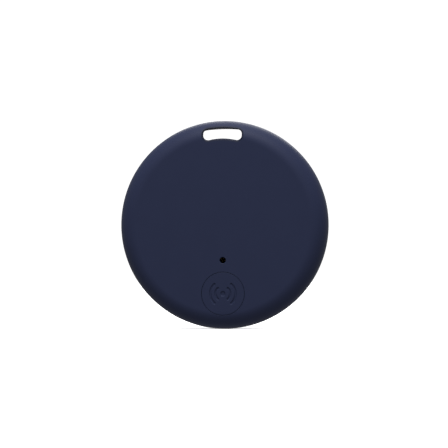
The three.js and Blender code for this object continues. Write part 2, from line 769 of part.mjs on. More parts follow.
function doorSeal() {
  const radius = SEAL_SECTION / 2;
  const middle = (ledgeInner + recessRadius) / 2;
  const y = (recessFloor + flangeUnder) / 2;
  const section = arc(middle, y, radius, 0, 2 * Math.PI, HALF_ROUND_STEPS);
  return turned([...section, section[0]], CASE_SEGMENTS);
}

// ---- Finishes ----

function finish(color, roughness, metalness = 0) {
  return new THREE.MeshStandardMaterial({ color, roughness, metalness, flatShading: true });
}

const casingFinish = finish(0x292e42, 0.55);
const sealFinish = finish(0x1c1c1e, 0.8);
const boardFinish = finish(0x1d4a35, 0.45);
const mouldedFinish = finish(0x18181a, 0.6);
const steelFinish = finish(0xb9bcc0, 0.3, 1);
const tinFinish = finish(0xc9ccd0, 0.4, 1);
const brassFinish = finish(0xc9a24a, 0.35, 1);
const ceramicFinish = finish(0xe4e0d4, 0.5);

// ---- Assembly ----

function piece(name, solid, material, place = [0, 0, 0], turn = 0) {
  const mesh = new THREE.Mesh(geometryOf(solid), material);
  mesh.name = name;
  mesh.position.set(...place);
  mesh.rotation.y = turn;
  return mesh;
}

function groupAt(place, ...members) {
  const group = new THREE.Group();
  group.position.set(...place);
  return group.add(...members);
}

function casing() {
  return groupAt(
    [0, 0, 0],
    piece("front_shell", frontShell(), casingFinish),
    piece("back_shell", backShell(), casingFinish),
    piece("battery_door", batteryDoor(), casingFinish),
    piece("door_seal", doorSeal(), sealFinish),
  );
}

function button() {
  return groupAt(
    [0, 0, -buttonDrop],
    piece("button_cap", buttonCap(), casingFinish),
    piece("button_pad", buttonPad(), sealFinish),
  );
}

function tactileSwitch() {
  const members = [
    piece("switch_body", switchBody(), mouldedFinish),
    piece("switch_cover", switchCover(), steelFinish),
    piece("switch_dome", switchDome(), steelFinish),
    piece("switch_plunger", switchPlunger(), mouldedFinish),
  ];
  let count = 0;
  for (const side of [1, -1]) {
    for (const z of [-1, 1]) {
      const turn = side > 0 ? 0 : Math.PI;
      const place = [side * (SWITCH_WIDTH / 2 + SLIP), 0, z];
      count += 1;
      members.push(piece(`switch_terminal_${count}`, switchTerminal(), tinFinish, place, turn));
    }
  }
  return groupAt([0, boardFront, -buttonDrop], ...members);
}

function sounder() {
  const hole = [0, 0, sounderDrop - soundHoleDrop];
  return groupAt(
    [0, -innerFace, -sounderDrop],
    piece("sound_mesh", soundMesh(), mouldedFinish, hole),
    piece("piezo_tape", sounderTape(), sealFinish),
    piece("piezo_plate", sounderPlate(), brassFinish),
    piece("piezo_ceramic", sounderCeramic(), ceramicFinish),
  );
}

function sounderWires() {
  const lift = SLIP + WIRE_RADIUS;
  const onPlate = -innerFace + SOUNDER_TAPE + SOUNDER_PLATE + lift;
  const onCeramic = onPlate + CERAMIC;
  const onBoard = boardFront - lift;
  const top = -sounderDrop;
  const red = [
    [3.2, onCeramic, top + 1],
    [4.6, onCeramic, top + 1.6],
    [6.4, (onCeramic + onBoard) / 2, top + 2],
    [8, onBoard, top + 1.6],
    [9.2, onBoard, top + 1],
  ];
  const black = [
    [5, onPlate, top - 1],
    [5.9, onPlate, top - 1.2],
    [7, (onPlate + onBoard) / 2, top - 1.2],
    [8.2, onBoard, top - 1],
    [9.2, onBoard, top - 0.6],
  ];
  return groupAt(
    [0, 0, 0],
    piece("piezo_wire_red", wire(red), finish(0xa02020, 0.5)),
    piece("piezo_wire_black", wire(black), sealFinish),
  );
}

function board() {
  const members = [
    piece("bluetooth_chip", flatPackage(...RADIO_CHIP), mouldedFinish, [-7.5, 0, 1]),
    piece("buzzer_driver", driverChip(), mouldedFinish, [7.5, 0, 5.4]),
    piece("buzzer_coil", drumCoil(...BOOST_COIL), mouldedFinish, [11.2, 0, 4.2]),
    piece("main_crystal", flatPackage(...MAIN_CRYSTAL), tinFinish, [-11.8, 0, 2]),
    piece("sleep_crystal", flatPackage(...SLEEP_CRYSTAL), tinFinish, [-11.6, 0, -1]),
    piece("chip_antenna", chipPart(...ANTENNA), ceramicFinish, [-10.8, 0, 9], ANTENNA_TURN),
    piece("antenna_coil", chipPart(...MATCHING_COIL), tinFinish, [-9.2, 0, 6.8], ANTENNA_TURN),
  ];
  const capacitors = [[-4, 5], [-6, 5.2], [-8, 5.2], [-7, -3.4], [-9, -3.6], [11.4, 1.4]];
  capacitors.forEach(([x, z], i) => {
    const name = `capacitor_${i + 1}`;
    members.push(piece(name, chipPart(...CAPACITOR), ceramicFinish, [x, 0, z]));
  });
  const resistors = [[5, 8.4], [7, 8.4], [4, -10.6], [-4, -10.6]];
  resistors.forEach(([x, z], i) => {
    const name = `resistor_${i + 1}`;
    members.push(piece(name, chipPart(...RESISTOR), mouldedFinish, [x, 0, z]));
  });
  return groupAt([0, boardFront, 0], ...members);
}

function coinCell() {
  const wide = cellRadius - CELL_DISC_MARGIN;
  const top = CELL_THICKNESS - CELL_SHEET - SLIP;
  const anodeLow = CELL_SHEET + SLIP;
  const middle = CELL_THICKNESS / 2;
  const filmLow = middle - SEPARATOR_FILM;
  return groupAt(
    [0, cellLow, 0],
    piece("cell_can", cellCan(), steelFinish),
    piece("cell_cap", cellCap(), steelFinish),
    piece("cell_gasket", cellGasket(), sealFinish),
    piece("cell_anode", cellDisc(wide, anodeLow, filmLow), tinFinish),
    piece("cell_separator", cellDisc(cellRadius - SEPARATOR_MARGIN, filmLow + SLIP, middle), ceramicFinish),
    piece("cell_cathode", cellDisc(wide, middle + SLIP, top), mouldedFinish),
  );
}

function cellSupport() {
  return groupAt(
    [0, boardBack, 0],
    piece("cell_holder", cellHolder(), mouldedFinish),
    piece("negative_contact", negativeContact(), tinFinish),
    piece("positive_contact", positiveContact(), tinFinish, [0, 0, 0], Math.PI),
  );
}

const boardPlate = piece("circuit_board", circuitBoard(), boardFinish);

export default groupAt(
  [0, 0, -slotMiddle],
  casing(),
  button(),
  tactileSwitch(),
  sounder(),
  sounderWires(),
  boardPlate,
  board(),
  coinCell(),
  cellSupport(),
);
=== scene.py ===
"""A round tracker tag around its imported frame: a soft-touch casing with a lanyard slot, a push
button, a sound hole and a bayonet battery door, over the board, sounder and coin cell inside.
Metres, in the frame's own axes: X to the right, the front faces -Y, Z up."""
import json
import math

import bmesh
import bpy
import numpy as np
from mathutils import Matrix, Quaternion, Vector
from mathutils.geometry import delaunay_2d_cdt


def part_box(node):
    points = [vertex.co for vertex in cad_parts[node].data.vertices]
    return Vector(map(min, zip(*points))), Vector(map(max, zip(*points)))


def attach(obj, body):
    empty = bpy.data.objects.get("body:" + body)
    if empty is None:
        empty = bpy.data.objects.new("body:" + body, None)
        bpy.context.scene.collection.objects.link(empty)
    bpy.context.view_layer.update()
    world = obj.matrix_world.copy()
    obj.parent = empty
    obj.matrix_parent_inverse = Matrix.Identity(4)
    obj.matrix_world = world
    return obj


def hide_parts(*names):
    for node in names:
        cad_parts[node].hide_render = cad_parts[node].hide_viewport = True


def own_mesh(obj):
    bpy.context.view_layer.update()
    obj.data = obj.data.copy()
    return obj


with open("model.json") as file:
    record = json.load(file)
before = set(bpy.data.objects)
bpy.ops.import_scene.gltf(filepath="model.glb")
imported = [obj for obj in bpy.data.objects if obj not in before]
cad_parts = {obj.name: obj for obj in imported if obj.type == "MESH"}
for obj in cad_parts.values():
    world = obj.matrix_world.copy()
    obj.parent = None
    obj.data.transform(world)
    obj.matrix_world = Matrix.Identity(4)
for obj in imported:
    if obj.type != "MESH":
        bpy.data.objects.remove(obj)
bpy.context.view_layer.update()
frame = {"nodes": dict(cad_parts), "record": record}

MM = 0.001
TAU = 2 * math.pi

# ---- The casing's sizes, from the frame ----
shell_low, shell_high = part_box("front_shell")
door_low, door_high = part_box("battery_door")
cap_low, cap_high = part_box("button_cap")
RIM = (shell_high.x - shell_low.x) / 2
FACE = -shell_low.y
AXIS_Z = (shell_low.z + shell_high.z) / 2
BUTTON_Z = (cap_low.z + cap_high.z) / 2 - AXIS_Z

# ---- The casing's form ----
WALL = 1.2 * MM
EDGE_REACH = 3 * MM            # how far the rounded edge reaches in from the rim
RIM_BAND = 1.2 * MM            # the straight band round the rim
PARTING = 0.06 * MM            # from the middle plane to each half
PARTING_EDGE = 0.07 * MM       # the small round on each side of the parting line
INNER_RIM = RIM - WALL
INNER_FACE = FACE - WALL
TONGUE = (0.5 * MM, 0.75 * MM, 0.4 * MM)     # the snap lip's thickness, height and root
TONGUE_GAP = 0.08 * MM
BEAD = 0.12 * MM               # how far the snap bead stands out of the lip
BEAD_SPAN = (0.4, 0.95)        # where it starts and ends, as shares of the lip's height
COLLAR_WALL = 1 * MM

# ---- Openings ----
SLOT_WIDTH = 6.83 * MM         # at the front face
SLOT_BACK_WIDTH = 8.7 * MM     # the slot opens towards the back face
SLOT_HEIGHT = 1.82 * MM
SLOT_BRIDGE = 1.37 * MM
SLOT_LOWER_RADIUS = 10 * MM
SLOT_CORNER = 0.85 * MM
SLOT_EDGE = (0.44 * MM, 0.5 * MM)            # the edge's reach over the face and down the wall
BORE_EDGE = (0.06 * MM, 0.07 * MM)
SOUND_HOLE = 0.55 * MM
SOUND_HOLE_Z = -6.26 * MM
SOUND_HOLE_EDGE = (0.1 * MM, 0.12 * MM)
MESH_SEAT = (0.97 * MM, 0.3 * MM)
RECESS = (door_high.x - door_low.x) / 2 + 0.3 * MM
RECESS_EDGE = (0.16 * MM, 0.18 * MM)

# ---- Button ----
FLANGE = (cap_high.x - cap_low.x) / 2
CAP = FLANGE - 0.4 * MM
CAP_EDGE = (0.06 * MM, 0.07 * MM)
BORE = CAP + 0.05 * MM
FLANGE_FRONT = 2.75 * MM
FLANGE_BACK = 2.45 * MM

# ---- Fineness ----
RIM_STEPS = 240
EDGE_RINGS = 22
EDGE_STEPS = 5                 # across the round of an opening's edge
HOLD = 0.03 * MM               # a narrow strip beside each edge keeps its shading off the face


# ================================================================ shapes

class Form:
    """The outside of a turned part: a flat face, an elliptical edge, then a straight rim.
    It is laid out in a plane by the distance run along it from the axis."""

    def __init__(self, face, flat, reach, depth):
        self.face = face
        self.flat = flat
        self.reach = reach
        self.depth = depth
        self.run = math.pi / 4 * (reach + depth)

    def laid_out(self, radius):
        if radius <= self.flat:
            return radius
        share = min((radius - self.flat) / self.reach, 1)
        return self.flat + self.run * math.asin(share) / (math.pi / 2)

    def at(self, along):
        """The radius and the height above the middle plane at a distance along the form."""
        if along <= self.flat:
            return along, self.face
        turn = (along - self.flat) / self.run * math.pi / 2
        shoulder = self.face - self.depth
        if turn >= math.pi / 2:
            return self.flat + self.reach, shoulder - (along - self.flat - self.run)
        return self.flat + self.reach * math.sin(turn), shoulder + self.depth * math.cos(turn)

    def height(self, radius):
        return self.at(self.laid_out(radius))[1]


def circle(x, z, radius, steps):
    """The outline of a round opening or boss, as a function of how far it is grown."""
    def outline(grow=0.0):
        turns = [TAU * i / steps for i in range(steps)]
        return [(x + (radius + grow) * math.cos(t), z + (radius + grow) * math.sin(t)) for t in turns]
    return outline


def arc(x, z, radius, start, end, steps):
    turns = [start + (end - start) * i / steps for i in range(steps)]
    return [(x + radius * math.cos(t), z + radius * math.sin(t)) for t in turns]


def slot_outline(grow=0.0):
    """The lanyard slot: its top follows the rim and its lower edge bulges up."""
    top = RIM - SLOT_BRIDGE
    low_centre = top - SLOT_HEIGHT - SLOT_LOWER_RADIUS
    corner = SLOT_CORNER + grow
    x = SLOT_WIDTH / 2 - SLOT_CORNER
    upper = math.sqrt((top - SLOT_CORNER) ** 2 - x ** 2)
    reach = math.sqrt((SLOT_LOWER_RADIUS + SLOT_CORNER) ** 2 - x ** 2)
    lower = low_centre + reach
    top_turn = math.atan2(upper, x)
    low_turn = math.atan2(reach, x)
    half = math.pi
    return [
        *arc(x, upper, corner, 0, top_turn, 9),
        *arc(0, 0, top + grow, top_turn, half - top_turn, 16),
        *arc(-x, upper, corner, half - top_turn, half, 9),
        *arc(-x, lower, corner, half, TAU - low_turn, 9),
        *arc(0, low_centre, SLOT_LOWER_RADIUS - grow, half - low_turn, low_turn, 16),
        *arc(x, lower, corner, half + low_turn, TAU, 9),
    ]


def slot_flare(y):
    """How much wider the lanyard slot is at y than at the front face."""
    return 1 + (SLOT_BACK_WIDTH / SLOT_WIDTH - 1) * (y + FACE) / (2 * FACE)


def flared(outline, y):
    return lambda grow=0.0: [(x * slot_flare(y), z) for x, z in outline(grow)]


COIN_SLOT = (12 * MM, 2 * MM, 0.55 * MM)     # its length, width and depth


def coin_slot_outline(grow=0.0):
    """A long slot with round ends, for a coin."""
    run = COIN_SLOT[0] / 2 - COIN_SLOT[1] / 2
    end = COIN_SLOT[1] / 2 + grow
    quarter = math.pi / 2
    straight = [(run - 2 * run * i / 12, end) for i in range(12)]
    return [
        *arc(run, 0, end, -quarter, quarter, 14),
        *straight,
        *arc(-run, 0, end, quarter, 3 * quarter, 14),
        *[(-x, -z) for x, z in straight],
    ]


def inside(points, loop):
    """For each point, whether it lies inside the closed loop."""
    x, z = points[:, :1], points[:, 1:]
    ends = np.asarray(loop)
    ax, az = ends[:, 0], ends[:, 1]
    bx, bz = np.roll(ax, -1), np.roll(az, -1)
    crosses = (az > z) != (bz > z)
    rise = np.where(bz == az, 1, bz - az)
    meets = ax + (z - az) * (bx - ax) / rise
    return np.count_nonzero(crosses & (x < meets), axis=1) % 2 == 1


class Skin:
    """Corners and faces gathered into one closed mesh. Heights are from the middle plane towards
    the side that the part faces: -1 for the front, 1 for the back."""

    def __init__(self, side, axis_z=AXIS_Z):
        self.side = side
        self.axis_z = axis_z
        self.corners = []
        self.faces = []

    def put(self, x, height, z):
        self.corners.append((x, self.side * height, z + self.axis_z))
        return len(self.corners) - 1

    def loop(self, outline, height):
        """A closed loop at one height."""
        return [self.put(x, height, z) for x, z in outline]

    def bridge(self, first, second):
        count = len(first)
        for i in range(count):
            j = (i + 1) % count
            self.faces.append((first[i], first[j], second[j], second[i]))

    def bridges(self, loops):
        for first, second in zip(loops, loops[1:]):
            self.bridge(first, second)

    def fan(self, loop, height):
        middle = self.put(0, height, 0)
        for i, corner in enumerate(loop):
            self.faces.append((corner, loop[(i + 1) % len(loop)], middle))

    def cover(self, flat_points, indices, boundary, holes):
        """Fills the boundary loop, less the holes, with triangles between the points given."""
        loops = [boundary, *holes]
        edges = []
        for ring in loops:
            edges += [(ring[i], ring[(i + 1) % len(ring)]) for i in range(len(ring))]
        flat, _, triangles, origins, _, _ = delaunay_2d_cdt(
            [Vector(p) for p in flat_points], edges, [], 0, 1e-9)
        places = np.array([tuple(p) for p in flat])
        centres = np.array([places[list(t)].mean(0) for t in triangles])
        keep = inside(centres, [flat_points[i] for i in boundary])
        for hole in holes:
            keep &= ~inside(centres, [flat_points[i] for i in hole])
        for triangle, kept in zip(triangles, keep):
            if kept:
                self.faces.append(tuple(indices[origins[corner][0]] for corner in triangle))

    def piece(self, name):
        mesh = bpy.data.meshes.new(name)
        mesh.from_pydata(self.corners, [], self.faces)
        made = bpy.data.objects.new(name, mesh)
        bpy.context.scene.collection.objects.link(made)
        turn_outwards(made)
        return made


def turn_outwards(piece):
    bm = bmesh.new()
    bm.from_mesh(piece.data)
    bmesh.ops.remove_doubles(bm, verts=bm.verts, dist=1e-8)
    bmesh.ops.recalc_face_normals(bm, faces=bm.faces)
    bm.to_mesh(piece.data)
    bm.free()


def rounded_loop(skin, form, on_form, corner, drop, step):
    """One loop of an edge's round, which runs from the form, past the corner and down the wall."""
    t = step / EDGE_STEPS
    shares = ((1 - t) ** 2, 2 * t * (1 - t), t * t)
    loop = []
    for (ax, az), (cx, cz) in zip(on_form, corner):
        top = form.height(math.hypot(cx, cz))
        heights = (form.height(math.hypot(ax, az)), top, top - drop)
        x = shares[0] * ax + (shares[1] + shares[2]) * cx
        z = shares[0] * az + (shares[1] + shares[2]) * cz
        loop.append(skin.put(x, sum(s * h for s, h in zip(shares, heights)), z))
    return loop


class Opening:
    """A hole through a form, with a rounded edge that is tangent to the form and to its wall."""

    def __init__(self, outline, edge, wall_end=None):
        self.outline = outline
        self.reach, self.drop = edge
        self.wall_end = wall_end or outline

    def edge_loops(self, skin, form):
        """From the loop that lies on the form to the one where the wall starts."""
        ends = self.outline(self.reach), self.outline(0.0)
        return [rounded_loop(skin, form, *ends, self.drop, step) for step in range(EDGE_STEPS + 1)]


def cover_form(skin, form, boundary, openings, extra=()):
    """Covers a form inside its boundary points. Returns the boundary's loop and, for each opening,
    the loops of its edge. Extra points are (x, z, how far the form is sunk there)."""
    flat_points, indices = [], []

    def lay(x, z, index=None, sunk=0.0):
        radius = math.hypot(x, z)
        along = form.laid_out(radius)
        scale = along / radius if radius else 1
        flat_points.append((x * scale, z * scale))
        indices.append(skin.put(x, form.height(radius) - sunk, z) if index is None else index)
        return len(flat_points) - 1

    outer = [lay(x, z) for x, z in boundary]
    holes, edges = [], []
    for opening in openings:
        loops = opening.edge_loops(skin, form)
        edges.append(loops)
        rim_points = opening.outline(opening.reach)
        holes.append([lay(x, z, i) for (x, z), i in zip(rim_points, loops[0])])
        for x, z in opening.outline(opening.reach + HOLD):
            lay(x, z)
    for x, z, sunk in extra:
        lay(x, z, None, sunk)
    skin.cover(flat_points, indices, outer, holes)
    return [indices[i] for i in outer], edges


def form_rings(form, openings, last):
    """Points on rings round the rounded edge, kept clear of the openings."""
    points = []
    for ring in range(-1, last):
        along = form.flat + form.run * ring / last
        radius = form.at(along)[0] if ring >= 0 else form.flat - 4 * HOLD
        for i in range(RIM_STEPS):
            turn = TAU * i / RIM_STEPS
            points.append((radius * math.cos(turn), radius * math.sin(turn)))
    places = np.array(points)
    keep = np.ones(len(points), bool)
    for opening in openings:
        keep &= ~inside(places, opening.outline(opening.reach + 5 * HOLD))
    return [(x, z, 0.0) for (x, z), kept in zip(points, keep) if kept]


def turned(name, profile, steps, axis_z=AXIS_Z):
    """A closed profile of (radius, y) points turned round the disc's axis."""
    skin = Skin(1, axis_z)
    rows = []
    for radius, y in profile:
        rows.append([skin.put(0, y, 0)] if radius == 0 else skin.loop(circle(0, 0, radius, steps)(), y))
    closed = profile[0][0] > 0
    for first, second in zip(rows, rows[1:] + rows[:1] if closed else rows[1:]):
        if len(first) == 1 and len(second) == 1:
            continue
        if len(first) == 1 or len(second) == 1:
            pole, ring = (first, second) if len(first) == 1 else (second, first)
            for i, corner in enumerate(ring):
                skin.faces.append((corner, ring[(i + 1) % steps], pole[0]))
        else:
            skin.bridge(first, second)
    return skin.piece(name)


def band(inner, outer, low, high):
    return [(inner, low), (outer, low), (outer, high), (inner, high)]


def prism(name, outline, low, high, top_outline=None):
    skin = Skin(1)
    first, second = skin.loop(outline, low), skin.loop(top_outline or outline, high)
    skin.bridge(first, second)
    skin.faces += [tuple(first), tuple(second)]
    return skin.piece(name)


def bent_block(name, inner, outer, start, end, bottom, top, steps):
    """A block bent round the axis. Angles run from +Z towards +X; bottom and top give y."""
    skin = Skin(1)
    rows = []
    for i in range(steps + 1):
        turn = start + (end - start) * i / steps
        corners = [(inner, bottom(turn)), (outer, bottom(turn)), (outer, top(turn)), (inner, top(turn))]
        rows.append([skin.put(r * math.sin(turn), y, r * math.cos(turn)) for r, y in corners])
    skin.bridges(rows)
    skin.faces += [tuple(rows[0]), tuple(rows[-1])]
    return skin.piece(name)


def combined(base, operation, *tools):
    """The base joined with, or cut by, each tool in turn. The tools are used up."""
    for tool in tools:
        change = base.modifiers.new("combine", "BOOLEAN")
        change.operation = operation
        change.solver = "MANIFOLD"
        change.object = tool
        settle(base)
        bpy.data.objects.remove(tool)
    return base


def settle(piece):
    """Makes what the modifiers show the piece's own mesh."""
    bpy.context.view_layer.update()
    seen = piece.evaluated_get(bpy.context.evaluated_depsgraph_get())
    mesh = bpy.data.meshes.new_from_object(seen)
    piece.modifiers.clear()
    piece.data = mesh
    mesh.name = piece.name
    return piece


def shaded(piece, sharp=32):
    """Smooth shading that breaks at edges sharper than the angle, in degrees."""
    mesh = piece.data
    mesh.polygons.foreach_set("use_smooth", [True] * len(mesh.polygons))
    mesh.set_sharp_from_angle(angle=math.radians(sharp))
    return piece


def mark(piece, name, share):
    """Stores on each corner a number that its material reads: share gives it from x, y and z."""
    layer = piece.data.attributes.new(name, "FLOAT", "POINT")
    layer.data.foreach_set("value", [share(*corner.co) for corner in piece.data.vertices])
    return piece


# ================================================================ the casing

CASE_FORM = Form(FACE, RIM - EDGE_REACH, EDGE_REACH, FACE - RIM_BAND / 2)


def casing_half(name, side, openings):
    """Half of the casing as a solid blank with its openings through it."""
    skin = Skin(side)
    form = CASE_FORM
    rim = circle(0, 0, form.at(form.flat + form.run)[0], RIM_STEPS)
    rings = form_rings(form, openings, EDGE_RINGS)
    boundary, edges = cover_form(skin, form, rim(), openings, rings)
    lip = [skin.loop(rim(), PARTING + PARTING_EDGE)]
    for step in range(1, 4):
        turn = step / 3 * math.pi / 2
        drop = PARTING + PARTING_EDGE * (1 - math.sin(turn))
        lip.append(skin.loop(rim(PARTING_EDGE * (math.cos(turn) - 1)), drop))
    skin.bridges([boundary, *lip])
    ends = []
    for opening, loops in zip(openings, edges):
        wall_end = skin.loop(opening.wall_end(), PARTING)
        skin.bridges([*loops, wall_end])
        ends.append(wall_end)
    flat_points, indices, holes = [], [], []
    for loop in [lip[-1], *ends]:
        start = len(flat_points)
        flat_points += [(skin.corners[i][0], skin.corners[i][2]) for i in loop]
        indices += loop
        holes.append(list(range(start, len(flat_points))))
    skin.cover(flat_points, indices, holes[0], holes[1:])
    return skin.piece(name)


def hollow(side):
    """The space inside one half, from its wall past the parting plane, round the slot's collar."""
    inner = Form(INNER_FACE, CASE_FORM.flat, EDGE_REACH - WALL, INNER_FACE - RIM_BAND / 2)
    steps = 10
    curve = [inner.at(inner.flat + inner.run * i / steps) for i in range(steps + 1)]
    past = -WALL
    profile = [(0, INNER_FACE), *curve, (INNER_RIM, past), (0, past)]
    space = turned("hollow", [(r, side * h) for r, h in profile], 120)
    front, back = (flared(slot_outline, y)(COLLAR_WALL) for y in (-FACE, FACE))
    return combined(space, "DIFFERENCE", prism("collar", front, -FACE, FACE, back))


def snap_lip(gap):
    """The lip of the front half or, with a gap, the rebate that takes it, broken at the slot."""
    thickness, height, root = TONGUE
    inner = INNER_RIM - (WALL if gap else 0)
    outer = INNER_RIM + thickness + gap
    bead = outer + BEAD
    low, high = BEAD_SPAN[0] * height - gap, BEAD_SPAN[1] * height
    step = bead - outer
    profile = [
        (inner, -root), (outer, -root), (outer, low), (bead, low + step),
        (bead, high - step + gap), (outer, high + gap), (outer, height + gap), (inner, height + gap),
    ]
    lip = turned("lip", profile, 120)
    half = (SLOT_WIDTH / 2 + COLLAR_WALL) * slot_flare(height) + thickness - gap
    corners = [(-half, RIM / 2), (half, RIM / 2), (half, 2 * RIM), (-half, 2 * RIM)]
    away = prism("gap", corners, -WALL, 2 * WALL)
    return combined(lip, "DIFFERENCE", away)


POST_TURNS = (48, 132, 228, 312)
POST_HALF = math.radians(6)
POST_INSET = 0.2 * MM
POST_DEPTH = 1.4 * MM


def level(y):
    """The end of a bent block that keeps to one height all along."""
    return lambda _: y


def board_posts(low, high):
    """Four posts between the casing and the board."""
    outer = INNER_RIM - POST_INSET
    inner = outer - POST_DEPTH
    posts = []
    for turn in map(math.radians, POST_TURNS):
        ends = level(low), level(high)
        posts.append(bent_block("post", inner, outer, turn - POST_HALF, turn + POST_HALF, *ends, 4))
    return posts


board_low, board_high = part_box("circuit_board")
BOARD_FRONT = board_low.y
BOARD_BACK = board_high.y
BOARD_RADIUS = (board_high.x - board_low.x) / 2
POST_ROOT = 2.9 * MM


def slot_opening(side):
    """The lanyard slot through one half, flared from its face to the parting line."""
    ends = (flared(slot_outline, side * height) for height in (FACE, PARTING))
    face_end, parting_end = ends
    return Opening(face_end, SLOT_EDGE, parting_end)


SLOT_SHADE_REACH = 0.36 * MM          # how far the painted shade round the slot reaches


def slot_shade_share(x, y, z):
    """1 on the slot's edge and walls, where the casing's colour is darkened as painted shade."""
    outline = flared(slot_outline, y)(SLOT_SHADE_REACH)
    return float(inside(np.array([(x, z - AXIS_Z)]), outline)[0])


def front_casing():
    openings = [
        slot_opening(-1),
        Opening(circle(0, BUTTON_Z, BORE, 96), BORE_EDGE),
        Opening(circle(0, SOUND_HOLE_Z, SOUND_HOLE, 40), SOUND_HOLE_EDGE),
    ]
    shell = casing_half("front_casing", -1, openings)
    combined(shell, "DIFFERENCE", hollow(-1))
    combined(shell, "UNION", snap_lip(0.0), *board_posts(-POST_ROOT, BOARD_FRONT))
    radius, depth = MESH_SEAT
    seat_profile = [(0, -INNER_FACE - depth), (radius, -INNER_FACE - depth), (radius, 0), (0, 0)]
    combined(shell, "DIFFERENCE", turned("seat", seat_profile, 40, AXIS_Z + SOUND_HOLE_Z))
    # Marks the slot's edge and walls for the painted shade that the casing's material darkens them with.
    return mark(shaded(shell), "bare", slot_shade_share)


# ---- the bayonet that holds the battery door ----
FLANGE_UNDER = door_high.y - 1.05 * MM
RECESS_FLOOR = FLANGE_UNDER - 0.54 * MM
SKIRT_OUTER = 10.8 * MM
SKIRT_INNER = 10.2 * MM
LEDGE_INNER = SKIRT_OUTER + 0.3 * MM
CURB_WALL = 0.9 * MM
LUG_HALF = math.radians(12)
LUG_SPACE = TAU / 3
NOTCH_GAP = math.radians(3)
DOOR_TURN = math.radians(50)
RAMP_PITCH = 0.4 * MM / DOOR_TURN
LUG_TOP = RECESS_FLOOR - 0.79 * MM
LUG_THICKNESS = 0.6 * MM
SKIRT_END = LUG_TOP - LUG_THICKNESS - RAMP_PITCH * LUG_HALF
LUG_GAP = 0.05 * MM            # between a lug and the ledge that it runs under
STOP_WIDTH = math.radians(4)


def ramp_at(turn):
    """The height of a ledge's underside, by the turn from the middle of the resting lug."""
    return LUG_TOP + LUG_GAP + RAMP_PITCH * max(turn, -LUG_HALF - NOTCH_GAP)


def bayonet_ledges():
    """The curb round the door's recess and the three ramped ledges that its lugs run under."""
    low = ramp_at(-LUG_HALF - NOTCH_GAP) - 0.02 * MM
    curb = turned("curb", band(RECESS - 0.01 * MM, RECESS + CURB_WALL, low, INNER_FACE + WALL / 3), 180)
    pieces = [curb]
    outer = RECESS + CURB_WALL / 2
    stop_end = -LUG_HALF - NOTCH_GAP / 3
    for i in range(3):
        turn = i * LUG_SPACE
        floor = level(RECESS_FLOOR)
        ramp = lambda angle, turn=turn: ramp_at(angle - turn)
        start = turn + DOOR_TURN + LUG_HALF + NOTCH_GAP - LUG_SPACE
        end = turn + DOOR_TURN - LUG_HALF - NOTCH_GAP
        pieces.append(bent_block("ledge", LEDGE_INNER, outer, start, end, ramp, floor, 30))
        stop = turn + stop_end
        pieces.append(bent_block(
            "stop", LEDGE_INNER, outer, stop - STOP_WIDTH, stop, level(SKIRT_END), floor, 3))
    return pieces


def back_casing():
    openings = [slot_opening(1), Opening(circle(0, 0, RECESS, 180), RECESS_EDGE)]
    shell = casing_half("back_casing", 1, openings)
    combined(shell, "DIFFERENCE", hollow(1), snap_lip(TONGUE_GAP))
    combined(shell, "UNION", *board_posts(BOARD_BACK, POST_ROOT), *bayonet_ledges())
    # Marks the slot's edge and walls for the painted shade that the casing's material darkens them with.
    return mark(shaded(shell), "bare", slot_shade_share)


# ---- button ----
MARK_STROKE = 0.5 * MM
MARK_DEPTH = 0.15 * MM
MARK_DOT = 0.5 * MM
MARK_ARCS = (1.3 * MM, 2.25 * MM)
MARK_SPREAD = math.radians(48)
MARK_REACH = 2.8 * MM
MARK_GRID = 0.06 * MM          # between the corners that carry the mark
MARK_ROW = 0.866               # the rows of a triangular grid, as a share of its step


def mark_depth(x, z):
    """How deep the engraved call mark is at a point: a dot between two pairs of arcs."""
    radius = math.hypot(x, z)
    nearest = radius - MARK_DOT + MARK_STROKE / 2
    turn = math.atan2(z, abs(x))
    for middle in MARK_ARCS:
        if abs(turn) <= MARK_SPREAD:
            away = abs(radius - middle)
        else:
            end_x = middle * math.cos(MARK_SPREAD)
            end_z = middle * math.sin(MARK_SPREAD)
            away = math.hypot(abs(x) - end_x, abs(z) - end_z)
        nearest = min(nearest, away)
    share = 1 - nearest / (MARK_STROKE / 2)
    if share <= 0:
        return 0.0
    share = min(share * 1.6, 1)
    return MARK_DEPTH * share * share * (3 - 2 * share)


def button_face():
    """The cap carries on the casing's form and has the call mark engraved in it."""
    skin = Skin(-1)
    outline = circle(0, BUTTON_Z, CAP, 96)
    reach, drop = CAP_EDGE
    boundary = outline(-reach)
    points = []
    grid = MARK_GRID
    rows = int(MARK_REACH / grid)
    for row in range(-rows, rows + 1):
        for column in range(-rows, rows + 1):
            x, z = (column + 0.5 * (row % 2)) * grid, row * grid * MARK_ROW
            if math.hypot(x, z) < rows * grid:
                points.append((x, BUTTON_Z + z, mark_depth(x, z)))
    for grow in (HOLD, 0.4 * MM, 0.8 * MM):
        points += [(x, z, 0.0) for x, z in outline(-reach - grow)]
    loop, _ = cover_form(skin, CASE_FORM, boundary, [], points)
    loops = [loop]
    for step in range(1, EDGE_STEPS + 1):
        loops.append(rounded_loop(skin, CASE_FORM, boundary, outline(), drop, step))
    round_off = 0.06 * MM
    flange = circle(0, BUTTON_Z, FLANGE, 96)
    for line, height in (
        (outline(), FLANGE_FRONT), (flange(-round_off), FLANGE_FRONT),
        (flange(), FLANGE_FRONT - round_off), (flange(), FLANGE_BACK + round_off),
        (flange(-round_off), FLANGE_BACK),
    ):
        loops.append(skin.loop(line, height))
    skin.bridges(loops)
    skin.faces.append(tuple(loops[-1]))
    return shaded(skin.piece("button_face"))


# ---- battery door ----
DOOR_FORM = Form(door_high.y, 11.72 * MM, 0.28 * MM, 0.28 * MM)
COIN_EDGE = (0.18 * MM, 0.2 * MM)
DOOR_RINGS = 7
DOOR_STEPS = 180
LUG_ROOT = 0.3 * MM            # how far a lug runs into the skirt
LUG_REACH = 1 * MM             # how far it stands out of it


